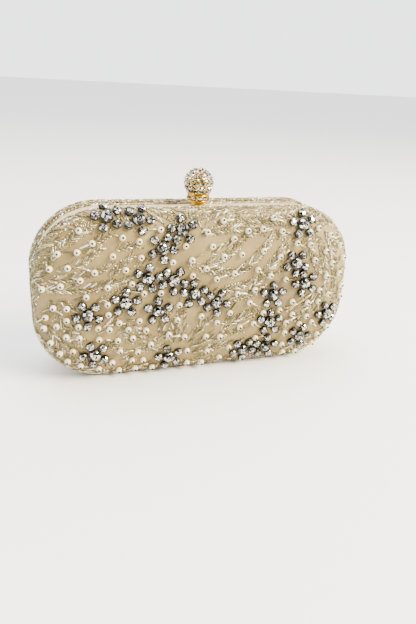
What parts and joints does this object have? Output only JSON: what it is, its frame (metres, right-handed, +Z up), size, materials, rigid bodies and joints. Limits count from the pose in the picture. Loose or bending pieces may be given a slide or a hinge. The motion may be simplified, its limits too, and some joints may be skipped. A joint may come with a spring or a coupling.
{
  "type": "evening bag",
  "caption": "Hard-case clutch: two domed beaded halves in a metal frame, hinged along the bottom, with a sprung ball clasp on top.",
  "frame": {"origin": "on the surface the bag stands on, under the middle of the case", "axes": "+X along the bag to the right as seen from the front, +Y to the back, +Z up; the parting plane is y = 0"},
  "size_m": [0.1854, 0.0482, 0.1147],
  "materials": {
    "frame_metal": "pale gold plating, satin",
    "hinge_metal": "gold plating",
    "clasp_metal": "polished gold plating",
    "steel": "nickel plated",
    "spring_steel": "blued spring steel",
    "setting_metal": "gunmetal plating",
    "shell_plastic": "moulded, matt",
    "padding_foam": "thin foam",
    "beaded_fabric": "champagne fabric with glass bead embroidery",
    "lining_satin": "satin",
    "pearl": "pearl lustre",
    "clear_stone": "faceted, foil backed"
  },
  "bodies": {
    "back_half": {"back_frame": "frame_metal", "back_shell": "shell_plastic", "back_padding": "padding_foam", "back_cover": "beaded_fabric", "back_lining": "lining_satin", "inner_pocket": "lining_satin", "back_pearls": "pearl", "hinge_leaf_back_left": "hinge_metal", "hinge_leaf_back_right": "hinge_metal", "hinge_pin_left": "steel", "hinge_pin_right": "steel", "hinge_rivets_back": "hinge_metal", "latch_bracket": "steel", "latch_pin": "steel", "latch_spring": "spring_steel", "latch_rivets": "steel"},
    "front_half": {"front_frame": "frame_metal", "front_shell": "shell_plastic", "front_padding": "padding_foam", "front_cover": "beaded_fabric", "front_lining": "lining_satin", "front_pearls": "pearl", "flower_settings": "setting_metal", "flower_stones": "clear_stone", "hinge_leaf_front_left": "hinge_metal", "hinge_leaf_front_right": "hinge_metal", "hinge_rivets_front": "hinge_metal", "catch_leaf": "spring_steel", "catch_rivets": "steel", "strike_plate": "clasp_metal"},
    "clasp": {"clasp_lever": "steel", "clasp_stem": "clasp_metal", "clasp_collar": "clasp_metal", "collar_stones": "clear_stone", "clasp_cup": "clasp_metal", "clasp_ball": "clasp_metal", "ball_stones": "clear_stone"}
  },
  "joints": [
    {"name": "frame_hinge", "type": "hinge", "parent": "back_half", "child": "front_half", "pos_m": [0, 0, 0.00135], "axis": [1, 0, 0], "range_deg": [0, 85], "deforming": ["catch_leaf"]},
    {"name": "clasp_tilt", "type": "hinge", "parent": "back_half", "child": "clasp", "pos_m": [0, 0.0032, 0.0852], "axis": [1, 0, 0], "range_deg": [-6, 0], "stiffness_Nm_per_rad": 0.25, "springref_deg": 8.59, "deforming": ["latch_spring"]}
  ]
}
